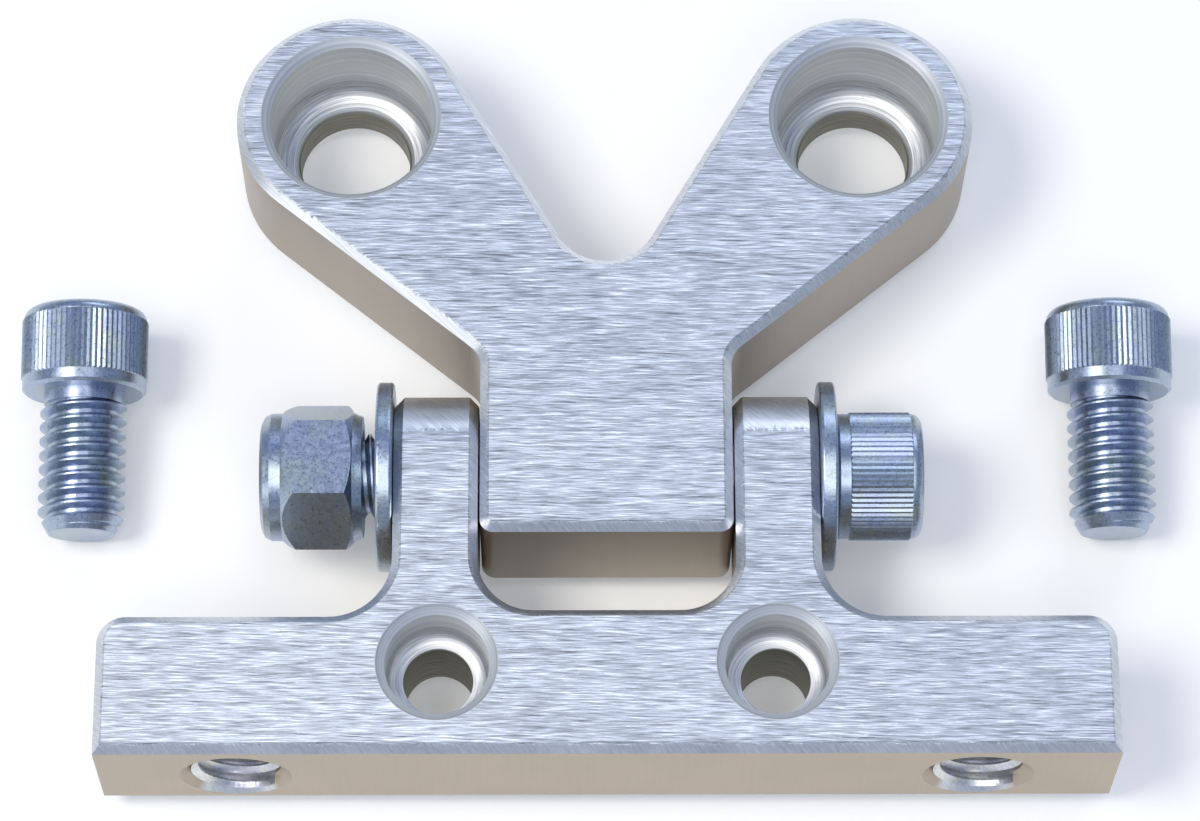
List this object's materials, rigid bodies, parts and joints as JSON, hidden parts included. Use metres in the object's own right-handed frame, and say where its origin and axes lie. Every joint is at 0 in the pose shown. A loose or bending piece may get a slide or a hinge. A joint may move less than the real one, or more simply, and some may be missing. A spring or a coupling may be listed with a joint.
{
  "type": "pivot hinge bracket",
  "caption": "Billet aluminium hinge bracket: a bar with two ears and a Y-shaped yoke pivot on a socket head screw with washers and a lock nut, with loose mounting screws.",
  "frame": {"origin": "midway between the two counterbored holes of the base bar, on the bar's back face", "axes": "+X along the bar towards the pivot screw's head, +Y from the bar towards the yoke's eyes, +Z out of the brushed faces"},
  "size_m": [0.1274, 0.0865, 0.0206],
  "materials": {
    "billet_aluminium": "brushed faces, satin edges",
    "zinc_steel": "bright zinc plate",
    "insert_nylon": "matte"
  },
  "bodies": {
    "base": {"clevis_base": "billet_aluminium"},
    "yoke": {"yoke_arm": "billet_aluminium"},
    "pivot_screw": {"pivot_screw": "zinc_steel"},
    "head_washer": {"head_washer": "zinc_steel"},
    "nut_washer": {"nut_washer": "zinc_steel"},
    "nut_insert": {"lock_nut_insert": "insert_nylon"},
    "lock_nut": {"lock_nut": "zinc_steel"},
    "mounting_screw_left": {"mounting_screw_left": "zinc_steel"},
    "mounting_screw_right": {"mounting_screw_right": "zinc_steel"}
  },
  "joints": [
    {"name": "yoke_fold", "type": "hinge", "parent": "base", "child": "yoke", "pos_m": [0, 0.0241, 0.00794], "axis": [1, 0, 0], "range_deg": [-116, 116]},
    {"name": "pivot_screw_spin", "type": "hinge", "parent": "base", "child": "pivot_screw", "pos_m": [0, 0.0241, 0.00794], "axis": [1, 0, 0], "continuous": true},
    {"name": "head_washer_spin", "type": "hinge", "parent": "base", "child": "head_washer", "pos_m": [0.0239, 0.0241, 0.00794], "axis": [1, 0, 0], "continuous": true},
    {"name": "nut_washer_spin", "type": "hinge", "parent": "base", "child": "nut_washer", "pos_m": [-0.0239, 0.0241, 0.00794], "axis": [1, 0, 0], "continuous": true},
    {"name": "lock_nut_advance", "type": "slide", "parent": "pivot_screw", "child": "nut_insert", "axis": [1, 0, 0], "range_m": [-0.0109, 0.00156]},
    {"name": "lock_nut_turn", "type": "hinge", "parent": "nut_insert", "child": "lock_nut", "pos_m": [-0.0322, 0.0241, 0.00794], "axis": [1, 0, 0], "range_deg": [-2460, 350]},
    {"name": "mounting_screw_left_lift", "type": "slide", "parent": "base", "child": "mounting_screw_left", "axis": [0, 0, 1], "range_m": [0, 0.05]},
    {"name": "mounting_screw_right_lift", "type": "slide", "parent": "base", "child": "mounting_screw_right", "axis": [0, 0, 1], "range_m": [0, 0.05]}
  ],
  "couplings": [
    {"joint": "lock_nut_advance", "follows": "lock_nut_turn", "m_per_rad": 0.00025266}
  ]
}
